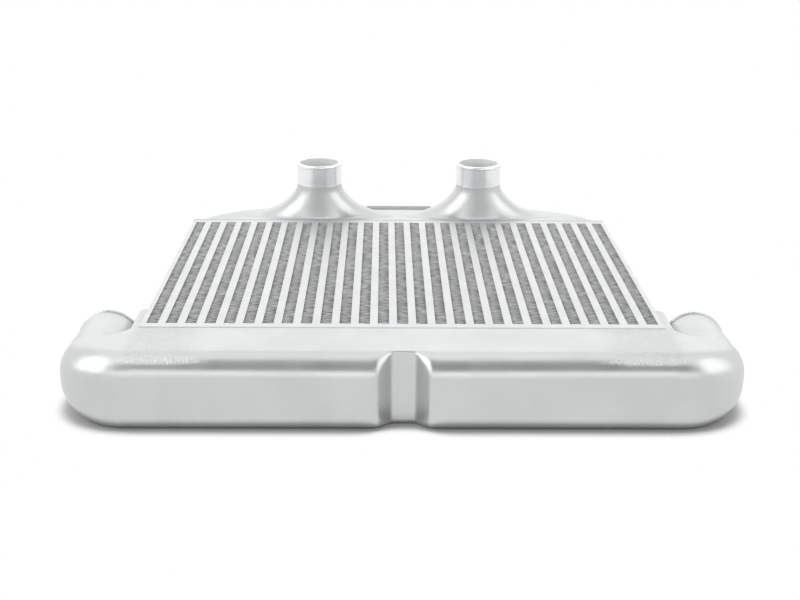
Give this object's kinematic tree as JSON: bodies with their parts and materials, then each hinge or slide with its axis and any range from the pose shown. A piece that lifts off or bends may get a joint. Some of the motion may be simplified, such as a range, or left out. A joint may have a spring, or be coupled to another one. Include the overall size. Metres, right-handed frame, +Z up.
{
  "type": "intercooler",
  "caption": "Air-to-air intercooler with a bar-and-plate core, a cast inlet tank with two return stubs and a cast outlet tank with two upright necks.",
  "frame": {"origin": "middle of the underside, centred on the outer length and width", "axes": "+X to the right across both tanks, +Y from the inlet tank to the outlet tank, +Z up out of the core's face, the way the outlets point"},
  "size_m": [0.6819, 0.58, 0.1445],
  "materials": {
    "cast_tank": "blasted, satin",
    "charge_tube": "brushed",
    "closing_bar": "brushed",
    "side_plate": "brushed",
    "fin_sheet": "dull",
    "name_plate": "satin",
    "weld": "rippled"
  },
  "bodies": {
    "root": {"bottom_tank": "cast_tank", "top_tank": "cast_tank", "side_plate_left": "side_plate", "side_plate_right": "side_plate", "fin_row_01": "fin_sheet", "fin_row_02": "fin_sheet", "fin_row_03": "fin_sheet", "fin_row_04": "fin_sheet", "fin_row_05": "fin_sheet", "fin_row_06": "fin_sheet", "fin_row_07": "fin_sheet", "fin_row_08": "fin_sheet", "fin_row_09": "fin_sheet", "fin_row_10": "fin_sheet", "fin_row_11": "fin_sheet", "fin_row_12": "fin_sheet", "fin_row_13": "fin_sheet", "fin_row_14": "fin_sheet", "fin_row_15": "fin_sheet", "fin_row_16": "fin_sheet", "fin_row_17": "fin_sheet", "fin_row_18": "fin_sheet", "fin_row_19": "fin_sheet", "fin_row_20": "fin_sheet", "fin_row_21": "fin_sheet", "fin_row_22": "fin_sheet", "fin_row_23": "fin_sheet", "fin_row_24": "fin_sheet", "fin_row_25": "fin_sheet", "fin_row_26": "fin_sheet", "fin_row_27": "fin_sheet", "charge_tube_01": "charge_tube", "charge_tube_02": "charge_tube", "charge_tube_03": "charge_tube", "charge_tube_04": "charge_tube", "charge_tube_05": "charge_tube", "charge_tube_06": "charge_tube", "charge_tube_07": "charge_tube", "charge_tube_08": "charge_tube", "charge_tube_09": "charge_tube", "charge_tube_10": "charge_tube", "charge_tube_11": "charge_tube", "charge_tube_12": "charge_tube", "charge_tube_13": "charge_tube", "charge_tube_14": "charge_tube", "charge_tube_15": "charge_tube", "charge_tube_16": "charge_tube", "charge_tube_17": "charge_tube", "charge_tube_18": "charge_tube", "charge_tube_19": "charge_tube", "charge_tube_20": "charge_tube", "charge_tube_21": "charge_tube", "charge_tube_22": "charge_tube", "charge_tube_23": "charge_tube", "charge_tube_24": "charge_tube", "charge_tube_25": "charge_tube", "charge_tube_26": "charge_tube", "inlet_side_bars": "closing_bar", "outlet_side_bars": "closing_bar", "name_plate": "name_plate"}
  },
  "joints": []
}
